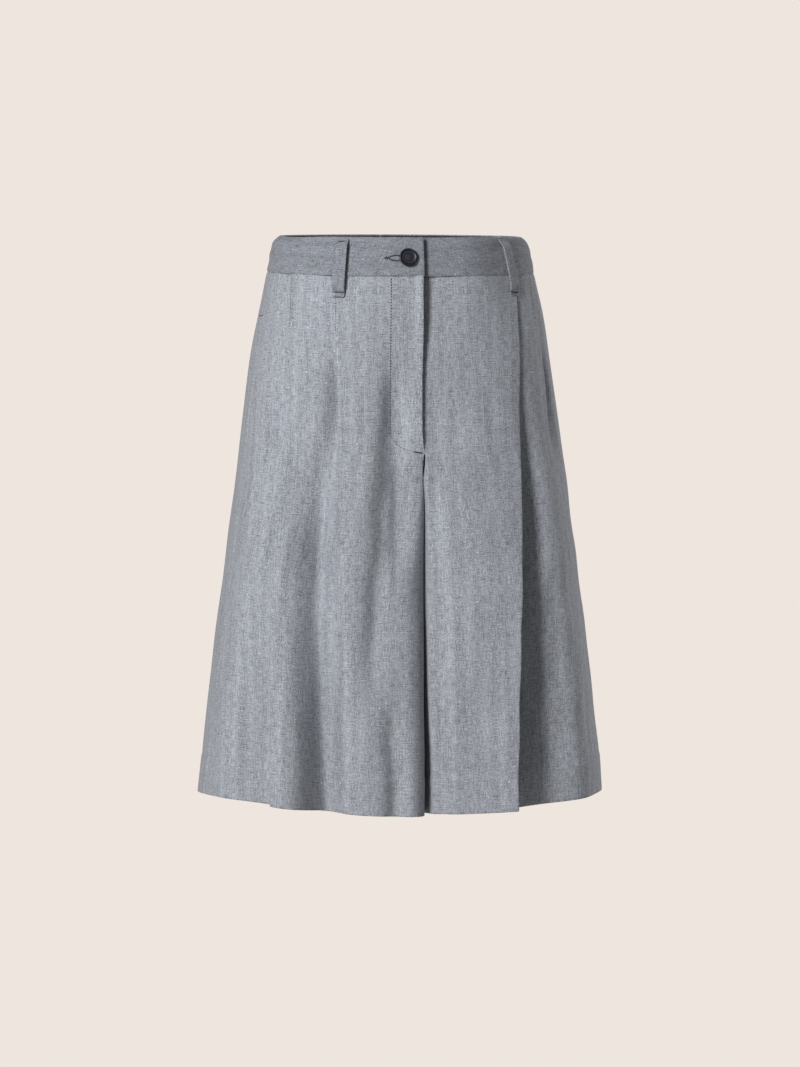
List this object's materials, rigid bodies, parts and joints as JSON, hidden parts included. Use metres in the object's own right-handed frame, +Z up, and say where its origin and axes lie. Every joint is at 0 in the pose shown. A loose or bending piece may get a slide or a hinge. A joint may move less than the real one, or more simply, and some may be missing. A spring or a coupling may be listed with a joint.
{
  "type": "bermuda shorts",
  "caption": "Wide pleated bermuda shorts in grey melange weave, filled out and hollow, with waistband, belt loops, button and J-shaped fly, open at waist and hems.",
  "frame": {"origin": "middle of the waist opening, level with the waistband's upper edge at the sides", "axes": "+Z up, -Y out of the front with the fly, +X towards the wearer's left"},
  "size_m": [0.4046, 0.2605, 0.5802],
  "materials": {
    "cloth": "matte melange weave",
    "button": "satin"
  },
  "bodies": {
    "root": {"front_right": "cloth", "front_left": "cloth", "back_right": "cloth", "back_left": "cloth", "waistband_right": "cloth", "waistband_left": "cloth", "fly_shield": "cloth", "belt_loop_front_right": "cloth", "belt_loop_front_left": "cloth", "belt_loop_back_right": "cloth", "belt_loop_back_left": "cloth", "belt_loop_back_centre": "cloth", "button": "button"}
  },
  "joints": []
}
